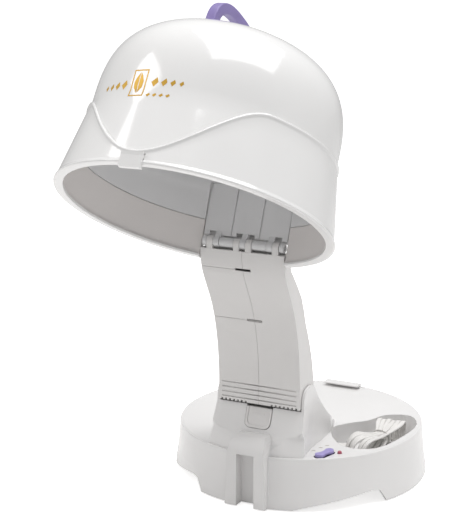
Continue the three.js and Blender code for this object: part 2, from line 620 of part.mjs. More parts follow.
/** Three-panel duct cover at the back of the hood, with the hood's hinge ears. */
function ductCover() {
  const plate = side([[139.4, 29], [129.6, 91.5], [136, 91.5], [136, 89.4], [132.2, 89.4],
    [141.9, 29]], -56.2, 56.2);
  const grooves = [-19, 19].map((x) => (
    side([[138, 27], [128, 95], [130.8, 95], [140.8, 27]], x - 0.9, x + 0.9)));
  const ears = [[-39.7, -32], [-3.7, 3.7], [32, 39.7]].map(([x0, x1]) => union(
    rodX(BARREL_R, x0, x1, PIN.y, PIN.z),
    side([[PIN.y - 4, PIN.z + 2], [138.8, 34], [141.4, 34], [PIN.y + 5, PIN.z + 2]], x0, x1),
  ));
  const notch = side([[PIN.y - 3, 22], [136, 33.4], [145, 33.4], [PIN.y + 12, 22]], 40, 48.6);
  const centre = side([[PIN.y - 3, 22], [136, 33.4], [145, 33.4], [PIN.y + 12, 22]], 4, 12.4);
  const inDome = turned([[0, 0], [hoodRadius(0) - 3.9, 0], [hoodRadius(48) - 3.9, 48],
    [hoodRadius(89) - 4.2, 89], [hoodRadius(95) - 4.6, 95], [0, 95]], HOOD_SIDES);
  const panels = cut(plate.intersect(inDome), ...grooves, notch, centre, mirrorX(notch),
    mirrorX(centre));
  return cut(union(panels, ...ears), rodX(PIN_R + 0.3, -60, 60, PIN.y, PIN.z, 12));
}

function hingePin() {
  return union(rodX(PIN_R, -51, 51, PIN.y, PIN.z, 12), rodX(3, 50.6, 52.6, PIN.y, PIN.z, 12));
}

/** Snap tab at the front of the rim, its lip curled outwards at the top. */
function latchTab() {
  const r = hoodRadius(0);
  return side([[-r - 2.6, -5.6], [-r - 3.2, 8], [-r - 3.9, 11.4], [-r - 2.6, 11.8], [-r - 0.4, 9],
    [-r + 0.9, 0], [-r + 1.2, -2.8], [-r + 2.8, -3.4], [-r + 2.8, -5.6]], -13.1, 13.1);
}

/** Side points of the carrying handle's arch, from its rear foot over the top. */
function archPoints(half, top, steps) {
  return Array.from({ length: steps + 1 }, (_, i) => {
    const [c, s] = [Math.cos((Math.PI * i) / steps), Math.sin((Math.PI * i) / steps)];
    const along = Math.sign(c) * Math.abs(c) ** (2 / HANDLE.round);
    const up = Math.max(s, 0) ** (2 / HANDLE.round);
    return [HANDLE.y + half * along, HANDLE.foot + (top - HANDLE.foot) * up];
  });
}

/** Carrying handle over the crown, front to back. */
function handle() {
  const outer = archPoints(HANDLE.half, HANDLE.top, 24);
  const inner = archPoints(HANDLE.half - 13, HANDLE.top - 12, 18);
  const strap = side([...outer, ...inner.reverse()], -HANDLE.width / 2, HANDLE.width / 2);
  const crown = domeProfile(0.5, 6, 0.2, 12);
  return cut(strap, turned([...crown, [0, 6], crown[0]], HOOD_SIDES));
}

function screw(r, length) {
  return union(turned([[0, 0], [r * 1.9, 0], [r * 1.9, 1.2], [r * 1.1, 2.4], [0, 2.4]], 12),
    post(r, -length, 0.5, 0, 0, 8));
}

const coverScrew = (deg) => {
  const at = polar(SCREW_CIRCLE, deg);
  return screw(1.9, 7).rotate([180, 0, 0]).translate([at.x, at.y, FLOOR_Z - GAP]);
};

// ---------------------------------------------------------------- assembly
place(dryer, 'base_shell', baseShell(), white);
place(dryer, 'bottom_cover', bottomCover(), white);
for (const [name, deg] of [['front', 0], ['right', 90], ['rear', 180], ['left', 270]]) {
  const at = polar(FOOT_CIRCLE, deg);
  place(dryer, `rubber_foot_${name}`, turned([[0, 0], [8.6, 0], [9.6, 1], [9.6, 3.1], [0, 3.1]], 16)
    .translate([at.x, at.y, 0]), rubber);
}
['front_left', 'front_right', 'rear_left', 'rear_right'].forEach((name, i) => {
  place(dryer, `cover_screw_${name}`, coverScrew(SCREW_DEGS[i]), steel);
});
place(dryer, 'rear_hook', rearHook(), white);
place(dryer, 'blower_scroll', blowerScroll(), innerWhite);
place(dryer, 'blower_motor', blowerMotor(), steel);
place(dryer, 'fan_wheel', fanWheel(), darkGrey);
place(dryer, 'riser_duct', riserDuct(), innerWhite);
place(dryer, 'heater_frame', heaterFrame(), mica);
place(dryer, 'heater_coil', heaterCoil(), copper);
place(dryer, 'thermal_cutout', thermalCutout(), steel);
place(dryer, 'release_button', releaseButton(), white);
place(dryer, 'button_spring', buttonSpring(), steel);
place(dryer, 'switch_cap', switchCap().rotate([0, 0, SWITCH.turn])
  .translate([SWITCH.x, SWITCH.y, 0]), violet);
place(dryer, 'switch_body', switchBody().rotate([0, 0, SWITCH.turn])
  .translate([SWITCH.x, SWITCH.y, 0]), darkGrey);
place(dryer, 'lamp_lens', lampLens(), lampRed);
place(dryer, 'strain_relief', strainRelief(), cordWhite);
place(dryer, 'cord_lead', cordLead(), cordWhite);
place(dryer, 'cord_hank', cordHank(), cordWhite);
place(dryer, 'plug_body', plugBody(), cordWhite);
place(dryer, 'plug_blade_inner', plugBlade(-1), steel);
place(dryer, 'plug_blade_outer', plugBlade(1), steel);
place(dryer, 'arm_shell_left', armShell(true), white);
place(dryer, 'arm_shell_right', armShell(false), white);
place(dryer, 'fold_axle_left', foldAxle(-1), steel);
place(dryer, 'fold_axle_right', foldAxle(1), steel);
place(hood, 'hood_dome', hoodDome(), white);
place(hood, 'hood_skirt', hoodSkirt(), white);
place(hood, 'hood_inner_band', innerBand(), innerWhite);
place(hood, 'hood_liner', hoodLiner(), innerWhite);
place(hood, 'duct_cover', ductCover(), innerWhite);
place(hood, 'hinge_pin', hingePin(), steel);
place(hood, 'latch_tab', latchTab(), white);
place(hood, 'handle', handle(), violet);

export default dryer;
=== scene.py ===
"""Folding table-top hood hair dryer, dressed and lit for a plain studio view.

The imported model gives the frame: metres, +Z up, the front facing -Y. Lengths in this file
are millimetres until a piece is placed, because every piece is built in the base's or the
hood's own frame and moved into the row frame as its last step.
"""
from __future__ import annotations

import json
import logging
import math
from dataclasses import dataclass
from enum import Enum
from typing import Callable, Iterable, Sequence

import bmesh
import bpy
from mathutils import Matrix, Vector


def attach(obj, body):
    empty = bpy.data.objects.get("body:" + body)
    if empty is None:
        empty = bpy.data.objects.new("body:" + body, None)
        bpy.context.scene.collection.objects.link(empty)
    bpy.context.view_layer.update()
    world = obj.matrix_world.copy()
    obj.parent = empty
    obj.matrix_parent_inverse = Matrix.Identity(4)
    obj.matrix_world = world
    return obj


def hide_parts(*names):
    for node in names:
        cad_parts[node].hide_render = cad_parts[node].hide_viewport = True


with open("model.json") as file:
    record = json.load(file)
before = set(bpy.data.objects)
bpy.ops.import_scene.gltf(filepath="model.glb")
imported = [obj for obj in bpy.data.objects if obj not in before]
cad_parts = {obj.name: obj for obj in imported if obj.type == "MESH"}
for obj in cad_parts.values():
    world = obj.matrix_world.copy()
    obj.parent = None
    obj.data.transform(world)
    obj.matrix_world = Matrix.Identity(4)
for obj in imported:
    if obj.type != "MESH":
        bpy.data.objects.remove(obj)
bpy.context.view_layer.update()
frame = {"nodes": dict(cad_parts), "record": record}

LOG = logging.getLogger("hood_dryer")

Pair = tuple[float, float]
Colour = tuple[float, float, float]

MM = 0.001
FRAME_Y = 140.84                 # base centre to the middle of the footprint
HOOD_Y = -309.0                  # centre of the hood's rim, from the base centre
HOOD_Z = 400.0
HOOD_TILT = math.radians(31.5)

BASE_PLACE = Matrix.Scale(MM, 4) @ Matrix.Translation((0, FRAME_Y, 0))
HOOD_PLACE = (Matrix.Scale(MM, 4) @ Matrix.Translation((0, HOOD_Y + FRAME_Y, HOOD_Z))
              @ Matrix.Rotation(-HOOD_TILT, 4, "X"))


class Body(Enum):
    """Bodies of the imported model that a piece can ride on."""

    BASE = "base"
    ARM = "arm"
    HOOD = "hood"
    LATCH = "latch"
    BUTTON = "button"
    SWITCH = "switch"


class Slot(Enum):
    """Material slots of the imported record."""

    WHITE = "white"
    INNER_WHITE = "inner_white"
    VIOLET = "violet"
    DARK = "dark_plastic"
    LAMP = "lamp_red"
    RUBBER = "rubber"
    STEEL = "steel"
    WIRE = "resistance_wire"
    MICA = "mica"
    CORD = "cord_pvc"


# ------------------------------------------------------------------------------ finishes
@dataclass(frozen=True)
class Finish:
    """One surface finish: a colour that drifts a little, a fine grain and its gloss."""

    name: str
    light: Colour
    dark: Colour
    roughness: float
    spread: float = 0.06
    metallic: float = 0.0
    coat: float = 0.0
    drift_scale: float = 9.0
    grain_scale: float = 900.0
    grain: float = 0.04
    edge_mm: float = 0.0
    stretch: tuple[float, float, float] = (1.0, 1.0, 1.0)
    emission: float = 0.0

    def material(self) -> bpy.types.Material:
        """Returns the finish as a node material, made the first time it is asked for."""
        made = bpy.data.materials.get(self.name)
        return made if made else self._build()

    def _build(self) -> bpy.types.Material:
        """Returns a new material with drifting colour, uneven gloss and grain.

        Returns:
            the finished node material.
        """
        material = bpy.data.materials.new(self.name)
        material.use_nodes = True
        nodes, links = material.node_tree.nodes, material.node_tree.links
        shader = nodes["Principled BSDF"]
        shader.inputs["Metallic"].default_value = self.metallic
        shader.inputs["Coat Weight"].default_value = self.coat
        shader.inputs["Coat Roughness"].default_value = 0.08
        place = nodes.new("ShaderNodeTexCoord")
        mapping = nodes.new("ShaderNodeMapping")
        mapping.inputs["Scale"].default_value = self.stretch
        links.new(place.outputs["Object"], mapping.inputs["Vector"])

        def noise(scale: float, detail: float) -> bpy.types.Node:
            """Returns a noise texture on the mapped object coordinates.

            Args:
                scale: features per metre.
                detail: octaves of the noise.

            Returns:
                the texture node.
            """
            made = nodes.new("ShaderNodeTexNoise")
            made.inputs["Scale"].default_value = scale
            made.inputs["Detail"].default_value = detail
            links.new(mapping.outputs["Vector"], made.inputs["Vector"])
            return made

        drift = noise(self.drift_scale, 4.0)
        blend = nodes.new("ShaderNodeValToRGB")
        blend.color_ramp.elements[0].position = 0.32
        blend.color_ramp.elements[1].position = 0.68
        blend.color_ramp.elements[0].color = (*self.dark, 1.0)
        blend.color_ramp.elements[1].color = (*self.light, 1.0)
        links.new(drift.outputs["Fac"], blend.inputs["Fac"])
        links.new(blend.outputs["Color"], shader.inputs["Base Color"])

        gloss = nodes.new("ShaderNodeMapRange")
        gloss.inputs["To Min"].default_value = max(self.roughness - self.spread, 0.02)
        gloss.inputs["To Max"].default_value = self.roughness + self.spread
        links.new(noise(self.drift_scale * 7.0, 6.0).outputs["Fac"], gloss.inputs["Value"])
        links.new(gloss.outputs["Result"], shader.inputs["Roughness"])

        bump = nodes.new("ShaderNodeBump")
        bump.inputs["Strength"].default_value = self.grain
        bump.inputs["Distance"].default_value = 0.0004
        links.new(noise(self.grain_scale, 3.0).outputs["Fac"], bump.inputs["Height"])
        links.new(bump.outputs["Normal"], shader.inputs["Normal"])
        if self.edge_mm:
            edge = nodes.new("ShaderNodeBevel")
            edge.samples = 4
            edge.inputs["Radius"].default_value = self.edge_mm * MM
            links.new(edge.outputs["Normal"], bump.inputs["Normal"])
        if self.emission:
            shader.inputs["Emission Color"].default_value = (*self.light, 1.0)
            glow, seen = nodes.new("ShaderNodeMath"), nodes.new("ShaderNodeLightPath")
            glow.operation = "MULTIPLY"
            glow.inputs[1].default_value = self.emission
            links.new(seen.outputs["Is Camera Ray"], glow.inputs[0])
            links.new(glow.outputs["Value"], shader.inputs["Emission Strength"])
        return material


GLOSS_WHITE = Finish("gloss_white", (0.83, 0.82, 0.815), (0.80, 0.79, 0.785), 0.2, coat=0.35,
                     grain_scale=420, grain=0.03, edge_mm=0.7)
HOOD_WHITE = Finish("hood_gloss_white", (0.85, 0.845, 0.84), (0.825, 0.82, 0.815), 0.13,
                    spread=0.04, coat=0.6, grain_scale=260, grain=0.02)
SATIN_WHITE = Finish("satin_white", (0.78, 0.765, 0.755), (0.74, 0.725, 0.715), 0.34,
                     grain_scale=1400, grain=0.07, edge_mm=0.7)
INNER_WARM = Finish("inner_warm_grey", (0.74, 0.71, 0.695), (0.70, 0.67, 0.655), 0.42,
                    grain_scale=1500, grain=0.12, edge_mm=0.5)
INNER_COOL = Finish("inner_cool_grey", (0.72, 0.72, 0.725), (0.68, 0.68, 0.685), 0.38,
                    grain_scale=1500, grain=0.12, edge_mm=0.5)
VIOLET = Finish("violet_grip", (0.255, 0.205, 0.45), (0.215, 0.17, 0.39), 0.36,
                grain_scale=2200, grain=0.18)
VIOLET_SWITCH = Finish("violet_rocker", (0.40, 0.345, 0.66), (0.35, 0.30, 0.60), 0.34,
                       grain_scale=2200, grain=0.12, edge_mm=0.5)
DARK = Finish("dark_moulding", (0.05, 0.05, 0.055), (0.035, 0.035, 0.04), 0.5,
              grain_scale=1500, grain=0.2)
LENS_RED = Finish("lamp_red", (0.17, 0.012, 0.022), (0.12, 0.008, 0.016), 0.1, spread=0.03,
                  coat=0.8, grain_scale=700, grain=0.05, edge_mm=0.3)
RUBBER = Finish("foot_rubber", (0.09, 0.09, 0.09), (0.06, 0.06, 0.06), 0.8, spread=0.1,
                grain_scale=2600, grain=0.4)
STEEL = Finish("brushed_steel", (0.56, 0.56, 0.57), (0.44, 0.44, 0.45), 0.32, metallic=1.0,
               grain_scale=900, grain=0.15, stretch=(0.15, 1.0, 1.0))
WIRE = Finish("resistance_wire", (0.45, 0.27, 0.15), (0.30, 0.18, 0.11), 0.38, metallic=0.9,
              drift_scale=60, grain_scale=1800, grain=0.1)
MICA = Finish("mica_sheet", (0.55, 0.49, 0.34), (0.42, 0.36, 0.24), 0.5, drift_scale=40,
              grain_scale=1200, grain=0.2)
CORD_SHEATH = Finish("cord_sheath", (0.80, 0.785, 0.765), (0.73, 0.715, 0.695), 0.38,
                     drift_scale=30, grain_scale=1800, grain=0.12)
GOLD = Finish("gold_foil", (0.62, 0.37, 0.045), (0.52, 0.30, 0.03), 0.42, metallic=0.35,
              drift_scale=50, grain_scale=1200, grain=0.08)
MARK_INK = Finish("mark_ink", (0.30, 0.27, 0.20), (0.24, 0.21, 0.16), 0.5, drift_scale=60,
                  grain_scale=1500, grain=0.05)
TABLE = Finish("pale_table", (0.93, 0.925, 0.92), (0.92, 0.915, 0.91), 0.6, drift_scale=1.5,
               grain_scale=300, grain=0.01, emission=0.78)

CAD_FINISHES: dict[Slot, Finish] = {
    Slot.WHITE: GLOSS_WHITE, Slot.INNER_WHITE: INNER_COOL, Slot.VIOLET: VIOLET,
    Slot.DARK: DARK, Slot.LAMP: LENS_RED, Slot.RUBBER: RUBBER, Slot.STEEL: STEEL,
    Slot.WIRE: WIRE, Slot.MICA: MICA, Slot.CORD: CORD_SHEATH,
}


# ------------------------------------------------------------------------------ workshop
def smooth_step(t: float) -> float:
    """Returns the smooth step of t, held to 0 and 1 outside that range."""
    t = min(max(t, 0.0), 1.0)
    return t * t * (3.0 - 2.0 * t)


def spline(points: Sequence[Pair], per_span: int) -> list[Pair]:
    """Returns points along a smooth curve through the given ones.

    Args:
        points: at least two pairs.
        per_span: new points in each span.

    Returns:
        the smooth curve, ends included.
    """
    padded = [points[0], *points, points[-1]]
    curve: list[Pair] = []
    for a, b, c, d in zip(padded, padded[1:], padded[2:], padded[3:]):
        for step in range(per_span):
            t = step / per_span
            curve.append(tuple(
                0.5 * (2 * q + (r - p) * t + (2 * p - 5 * q + 4 * r - s) * t * t
                       + (3 * q - p - 3 * r + s) * t ** 3)
                for p, q, r, s in zip(a, b, c, d)))
    return [*curve, tuple(points[-1])]


def spun(profile: Sequence[Pair], steps: int, closed: bool) -> bmesh.types.BMesh:
    """Returns a profile spun once round the Z axis.

    Args:
        profile: (radius, height) pairs in order.
        steps: facets round the axis.
        closed: whether the last point joins the first.

    Returns:
        the new bmesh, which the caller frees.
    """
    bm = bmesh.new()
    verts = [bm.verts.new((r, 0.0, z)) for r, z in profile]
    for a, b in zip(verts, verts[1:]):
        bm.edges.new((a, b))
    if closed:
        bm.edges.new((verts[-1], verts[0]))
    bmesh.ops.spin(bm, geom=[*bm.verts, *bm.edges], cent=(0, 0, 0), axis=(0, 0, 1),
                   dvec=(0, 0, 0), angle=math.tau, steps=steps, use_merge=True,
                   use_duplicate=False)
    bmesh.ops.remove_doubles(bm, verts=bm.verts, dist=1e-4)
    bmesh.ops.recalc_face_normals(bm, faces=bm.faces)
    return bm


def slab(outline: Sequence[Pair], depth: float, place: Matrix | None = None,
         round_mm: float = 0.0) -> bmesh.types.BMesh:
    """Returns an outline in X and Y pulled up along Z, its edges rounded.

    Args:
        outline: corners of one face.
        depth: height of the slab.
        place: moves the finished slab.
        round_mm: radius of the edges.

    Returns:
        the new bmesh, which the caller frees.
    """
    bm = bmesh.new()
    face = bm.faces.new([bm.verts.new((x, y, 0.0)) for x, y in outline])
    pulled = bmesh.ops.extrude_face_region(bm, geom=[face])
    top = [v for v in pulled["geom"] if isinstance(v, bmesh.types.BMVert)]
    bmesh.ops.translate(bm, verts=top, vec=(0, 0, depth))
    bmesh.ops.recalc_face_normals(bm, faces=bm.faces)
    if round_mm:
        sharp = [e for e in bm.edges if e.calc_face_angle(0.0) > 1.0]
        bmesh.ops.bevel(bm, geom=sharp, offset=round_mm, offset_type="OFFSET", segments=3,
                        profile=0.5, affect="EDGES", material=-1, clamp_overlap=True)
    if place is not None:
        bm.transform(place)
    return bm


def block(low: Sequence[float], high: Sequence[float]) -> bmesh.types.BMesh:
    """Returns a plain cutting block between two corners.

    Args:
        low: corner with the smallest coordinates.
        high: corner with the largest coordinates.

    Returns:
        the new bmesh, which the caller frees.
    """
    bm = bmesh.new()
    bmesh.ops.create_cube(bm, size=1.0)
    size = [b - a for a, b in zip(low, high)]
    middle = [(a + b) / 2 for a, b in zip(low, high)]
    bmesh.ops.scale(bm, vec=size, verts=bm.verts)
    bmesh.ops.translate(bm, vec=middle, verts=bm.verts)
    return bm


def gathered(shapes: Iterable[bmesh.types.BMesh]) -> bmesh.types.BMesh:
    """Returns several shapes as one bmesh, and frees them.

    Args:
        shapes: the shapes to join.

    Returns:
        the new bmesh, which the caller frees.
    """
    whole = bmesh.new()
    for shape in shapes:
        mesh = bpy.data.meshes.new("part_of_whole")
        shape.to_mesh(mesh)
        shape.free()
        whole.from_mesh(mesh)
        bpy.data.meshes.remove(mesh)
    return whole


def mesh_object(name: str, bm: bmesh.types.BMesh) -> bpy.types.Object:
    """Returns a linked object that holds the mesh, and frees the bmesh.

    Args:
        name: name of the object and its mesh.
        bm: shape to hold.

    Returns:
        the linked object.
    """
    mesh = bpy.data.meshes.new(name)
    bm.to_mesh(mesh)
    bm.free()
    made = bpy.data.objects.new(name, mesh)
    bpy.context.scene.collection.objects.link(made)
    return made


def carved(target: bpy.types.Object, cutters: Iterable[bmesh.types.BMesh]) -> None:
    """Cuts shapes out of an object and keeps the result as its mesh.

    Args:
        target: the object to cut.
        cutters: closed shapes in the object's own frame.
    """
    for number, cutter in enumerate(cutters):
        tool = mesh_object(f"cutter_{number}", cutter)
        cut = target.modifiers.new("cut", "BOOLEAN")
        cut.operation = "DIFFERENCE"
        cut.solver = "EXACT"
        cut.object = tool
        bpy.context.view_layer.update()
        evaluated = target.evaluated_get(bpy.context.evaluated_depsgraph_get())
        result = bpy.data.meshes.new_from_object(evaluated)
        target.modifiers.clear()
        target.data = result
        bpy.data.objects.remove(tool)


def shade(piece: bpy.types.Object, angle_deg: float = 32.0) -> None:
    """Shades a piece smooth, with sharp edges above an angle.

    Args:
        piece: object to shade.
        angle_deg: edges above this angle stay sharp.
    """
    for polygon in piece.data.polygons:
        polygon.use_smooth = True
    piece.data.set_sharp_from_angle(angle=math.radians(angle_deg))


def dressed(piece: bpy.types.Object, finish: Finish, body: Body,
            stands_for: Sequence[str] = ()) -> bpy.types.Object:
    """Gives a piece its finish and the body that it moves with.

    Args:
        piece: object in the row frame.
        finish: surface finish.
        body: body that carries the piece.
        stands_for: CAD nodes that the piece is shown in place of.

    Returns:
        the same piece.
    """
    piece.data.materials.clear()
    piece.data.materials.append(finish.material())
    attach(piece, body.value)
    if stands_for:
        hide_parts(*stands_for)
    LOG.info("%s rides on %s", piece.name, body.value)
    return piece


def placed(name: str, bm: bmesh.types.BMesh, place: Matrix) -> bpy.types.Object:
    """Returns a shaded object whose mesh was moved into the row frame.

    Args:
        name: name of the object.
        bm: shape in its own frame.
        place: moves it into the row frame.

    Returns:
        the shaded object.
    """
    bm.transform(place)
    piece = mesh_object(name, bm)
    shade(piece)
    return piece


def refined(node: str, name: str, finish: Finish, body: Body,
            flat_deg: float = 0.4, sharp_deg: float = 30.0) -> bpy.types.Object:
    """Returns a merged, smooth-shaded copy of a CAD node that is shown in its place.

    Args:
        node: CAD node.
        name: name of the new piece.
        finish: surface finish.
        body: body that carries the piece.
        flat_deg: faces that differ by less are joined.
        sharp_deg: edges above this angle stay sharp.

    Returns:
        the dressed piece.
    """
    bm = bmesh.new()
    bm.from_mesh(frame["nodes"][node].data)
    bmesh.ops.remove_doubles(bm, verts=bm.verts, dist=2e-6)
    bmesh.ops.dissolve_limit(bm, angle_limit=math.radians(flat_deg), verts=bm.verts,
                             edges=bm.edges)
    piece = mesh_object(name, bm)
    shade(piece, sharp_deg)
    even = piece.modifiers.new("even_normals", "WEIGHTED_NORMAL")
    even.keep_sharp = True
    return dressed(piece, finish, body, [node])


# ------------------------------------------------------------------------------ cord
@dataclass
class MainsCord:
    """Flat twin cord, folded into a hank and tied, with its tie and plug."""

    width: float = 6.0
    thick: float = 3.0
    hank_radius: float = 124.0
    hank_middle_deg: float = 81.5
    run_half: float = 40.0
    loop_radius: float = 17.4
    floor: float = 40.0
    turns: int = 6
    pitch: float = 6.3
    waist_pitch: float = 3.2
    waist_low: float = 57.5
    waist_high: float = 67.0
    gland: tuple[float, float, float] = (115.5, 64.5, 47.0)
    gland_turn_deg: float = -66.0
    gland_reach: float = 16.0
    plug: tuple[float, float, float] = (74.5, -34.0, 45.2)
    plug_turn_deg: float = 112.0
    spacing: float = 1.6
    relief_ribs: int = 5

    def hank_point(self, along: float, across: float, height: float) -> Vector:
        """Returns a point of the hank in the base frame.

        Args:
            along: distance along the hank from its waist, to the rear.
            across: distance outwards from the hank's centre line.
            height: height above the table.

        Returns:
            the point in millimetres.
        """
        angle = math.radians(self.hank_middle_deg) + along / self.hank_radius
        reach = self.hank_radius + across
        return Vector((reach * math.sin(angle), -reach * math.cos(angle), height))

    def outwards(self, along: float) -> Vector:
        """Returns the direction across the hank at a place along it."""
        angle = math.radians(self.hank_middle_deg) + along / self.hank_radius
        return Vector((math.sin(angle), -math.cos(angle), 0.0))

    def strand(self, turn: float, along: float, upper: bool) -> Vector:
        """Returns a point on a strand of the hank, drawn in at the waist.

        Args:
            turn: number of the turn, with a fraction while it moves to the next.
            along: distance along the hank from its waist.
            upper: whether it is the upper run.

        Returns:
            the point in millimetres.
        """
        waist = 0.5 + 0.5 * math.cos(math.pi * min(abs(along) / 34.0, 1.0))
        middle = turn - (self.turns - 1) / 2
        across = middle * (self.pitch * (1 - waist) + self.waist_pitch * waist)
        layer = self.thick * (round(turn) % 2) * waist * 1.05
        if upper:
            height = self.floor + 2 * self.loop_radius
            height += (self.waist_high - height) * waist
        else:
            height = self.floor + (self.waist_low - self.floor) * waist
        return self.hank_point(along, across, height + layer)

    def end_of(self, turn: float, front: bool) -> float:
        """Returns how far from the waist the end loop of a turn starts.

        Args:
            turn: number of the turn.
            front: whether it is the front end of the hank.

        Returns:
            the distance, negative at the front.
        """
        middle = turn - (self.turns - 1) / 2
        uneven = (0.0, 2.4, -1.8, 1.2, -2.6, 0.8)[int(turn) % 6]
        reach = self.run_half + uneven - (0.030 if front else 0.014) * (middle * self.pitch) ** 2
        return -reach if front else reach

    def route(self) -> tuple[list[Vector], list[Vector]]:
        """Returns the cord's centre line and the direction of its flat width at each point.

        Returns:
            the points, and one width direction for each.
        """
        points: list[Vector] = []
        widths: list[Vector] = []

        def add(point: Vector, width: Vector) -> None:
            """Adds one point of the route."""
            points.append(point)
            widths.append(width)

        turn_rad = math.radians(self.gland_turn_deg)
        heading = Vector((math.cos(turn_rad), math.sin(turn_rad), 0.0))
        start = Vector(self.gland) + heading * self.gland_reach
        side = Vector((-heading.y, heading.x, 0.0))
        for step in range(4):
            add(start + heading * (0.4 + 1.6 * step), side)
        for turn in range(self.turns):
            rear, ahead = self.end_of(turn, False), self.end_of(turn, True)
            low_from = rear - 6.0 if turn == 0 else rear
            for step in range(14):
                along = low_from + (ahead - low_from) * step / 13
                add(self.strand(turn, along, False), self.outwards(along))
            for step in range(1, 10):
                angle = math.pi * step / 10
                along = ahead - self.loop_radius * math.sin(angle)
                across = (turn - (self.turns - 1) / 2) * self.pitch
                height = self.floor + self.loop_radius * (1 - math.cos(angle))
                add(self.hank_point(along, across, height), self.outwards(along))
            last = turn == self.turns - 1
            back = self.end_of(turn + 1, False) if not last else rear
            for step in range(14):
                along = ahead + (back - ahead) * step / 13
                add(self.strand(turn, along, True), self.outwards(along))
            for step in range(1, 10):
                angle = math.pi * step / 10
                along = back + self.loop_radius * math.sin(angle)
                shift = 0.0 if last else smooth_step(step / 10)
                across = (turn + shift - (self.turns - 1) / 2) * self.pitch
                height = self.floor + self.loop_radius * (1 + math.cos(angle))
                add(self.hank_point(along, across, height), self.outwards(along))
        self.add_tail(add)
        return points, widths

    def evened(self, points: list[Vector], widths: list[Vector]) -> tuple[list[Vector],
                                                                          list[Vector]]:
        """Returns the route as evenly spaced points on a smooth curve.

        Args:
            points: rough centre line.
            widths: width direction at each rough point.

        Returns:
            the even points, and one width direction for each.
        """
        rough = [(*p, *w) for p, w in zip(points, widths)]
        fine = spline(rough, 6)
        kept = [fine[0]]
        for item in fine[1:]:
            if (Vector(item[:3]) - Vector(kept[-1][:3])).length >= self.spacing:
                kept.append(item)
        return [Vector(k[:3]) for k in kept], [Vector(k[3:]).normalized() for k in kept]

    def add_tail(self, add: Callable[[Vector, Vector], None]) -> None:
        """Adds the stretch that runs under the hank and round into the plug.

        Args:
            add: takes each point and its width direction.
        """
        turn_rad = math.radians(self.plug_turn_deg)
        axis = Vector((math.cos(turn_rad), math.sin(turn_rad), 0.0))
        entry = Vector(self.plug) - axis * 18.0
        level = self.plug[2]
        for along, across in ((-34.0, -13.0), (-46.0, -15.5), (-56.0, -20.0)):
            add(self.hank_point(along, across, self.floor + 0.5), self.outwards(along))
        turn_side = Vector((axis.y, -axis.x, 0.0))
        for back, aside in ((13.0, 7.5), (9.0, 3.2), (4.5, 0.8), (0.0, 0.0), (-3.0, 0.0)):
            add(Vector((entry.x, entry.y, level)) - axis * back + turn_side * aside, turn_side)

    def section(self) -> list[Pair]:
        """Returns the outline of the twin cord, two rounds with a groove between them.

        Returns:
            the outline, anticlockwise.
        """
        half, r = self.width / 2, self.thick / 2
        right = [(half - r + r * math.cos(t), r * math.sin(t))
                 for t in (math.radians(a) for a in range(-120, 121, 40))]
        return [*right, *[(-x, -z) for x, z in right]]

    def build(self) -> bpy.types.Object:
        """Returns the cord as a tube.

        Returns:
            the cord.
        """
        points, widths = self.evened(*self.route())
        bm = bmesh.new()
        rings: list[list[bmesh.types.BMVert]] = []
        for index, (point, width) in enumerate(zip(points, widths)):
            ahead = points[min(index + 1, len(points) - 1)] - points[max(index - 1, 0)]
            tangent = ahead.normalized()
            across = (width - tangent * width.dot(tangent)).normalized()
            up = tangent.cross(across)
            rings.append([bm.verts.new(point + across * a + up * b) for a, b in self.section()])
        count = len(rings[0])
        for lower, upper in zip(rings, rings[1:]):
            for i in range(count):
                j = (i + 1) % count
                bm.faces.new((lower[i], lower[j], upper[j], upper[i]))
        bm.faces.new(rings[0][::-1])
        bm.faces.new(rings[-1])
        bmesh.ops.recalc_face_normals(bm, faces=bm.faces)
        piece = placed("mains_cord", bm, BASE_PLACE)
        dressed(piece, CORD_SHEATH, Body.BASE, ["cord_hank", "cord_lead"])
        tie, plug = self.tie(), self.plug_piece()
        self.strain_relief()
        return piece

    def gland_place(self) -> Matrix:
        """Returns the frame of the strain relief, its axis along Z, in the row frame.

        Returns:
            the frame as a matrix.
        """
        return (BASE_PLACE @ Matrix.Translation(self.gland)
                @ Matrix.Rotation(math.radians(self.gland_turn_deg), 4, "Z")
                @ Matrix.Rotation(math.pi / 2, 4, "Y"))

    def strain_relief(self) -> None:
        """Builds the tapered, ribbed strain relief."""
        profile = [(0.0, -9.0), (6.0, -9.0), (6.2, -8.6), (6.2, -4.9), (5.9, -4.6), (4.2, -4.6),
                   (4.2, 1.4), (5.5, 1.5), (5.6, 2.8)]
        for rib in range(self.relief_ribs):
            low = 3.2 + rib * 2.6
            thick = 5.4 - 0.36 * rib
            profile += [(thick - 0.9, low), (thick - 0.9, low + 0.7), (thick, low + 1.0),
                        (thick - 0.1, low + 2.2)]
        profile += [(3.7, self.gland_reach), (0.0, self.gland_reach)]
        piece = placed("cord_strain_relief", spun(profile, 32, False), self.gland_place())
        dressed(piece, CORD_SHEATH, Body.BASE, ["strain_relief"])

    def plug_piece(self) -> bpy.types.Object:
        """Returns the moulded plug with its finger grips.

        Returns:
            the plug.
        """
        top = [(-19.0, 4.0), (-14.0, 4.4), (-10.0, 6.2), (-6.5, 9.2), (-3.0, 9.4), (6.6, 9.4),
               (8.0, 8.4)]
        bm = slab([*[(x, -y) for x, y in top], *reversed(top)], 13.2,
                  Matrix.Translation((0, 0, -6.6)), 1.8)
        place = (BASE_PLACE @ Matrix.Translation(self.plug)
                 @ Matrix.Rotation(math.radians(self.plug_turn_deg), 4, "Z"))
        piece = placed("moulded_plug", bm, place)
        return dressed(piece, CORD_SHEATH, Body.BASE, ["plug_body"])

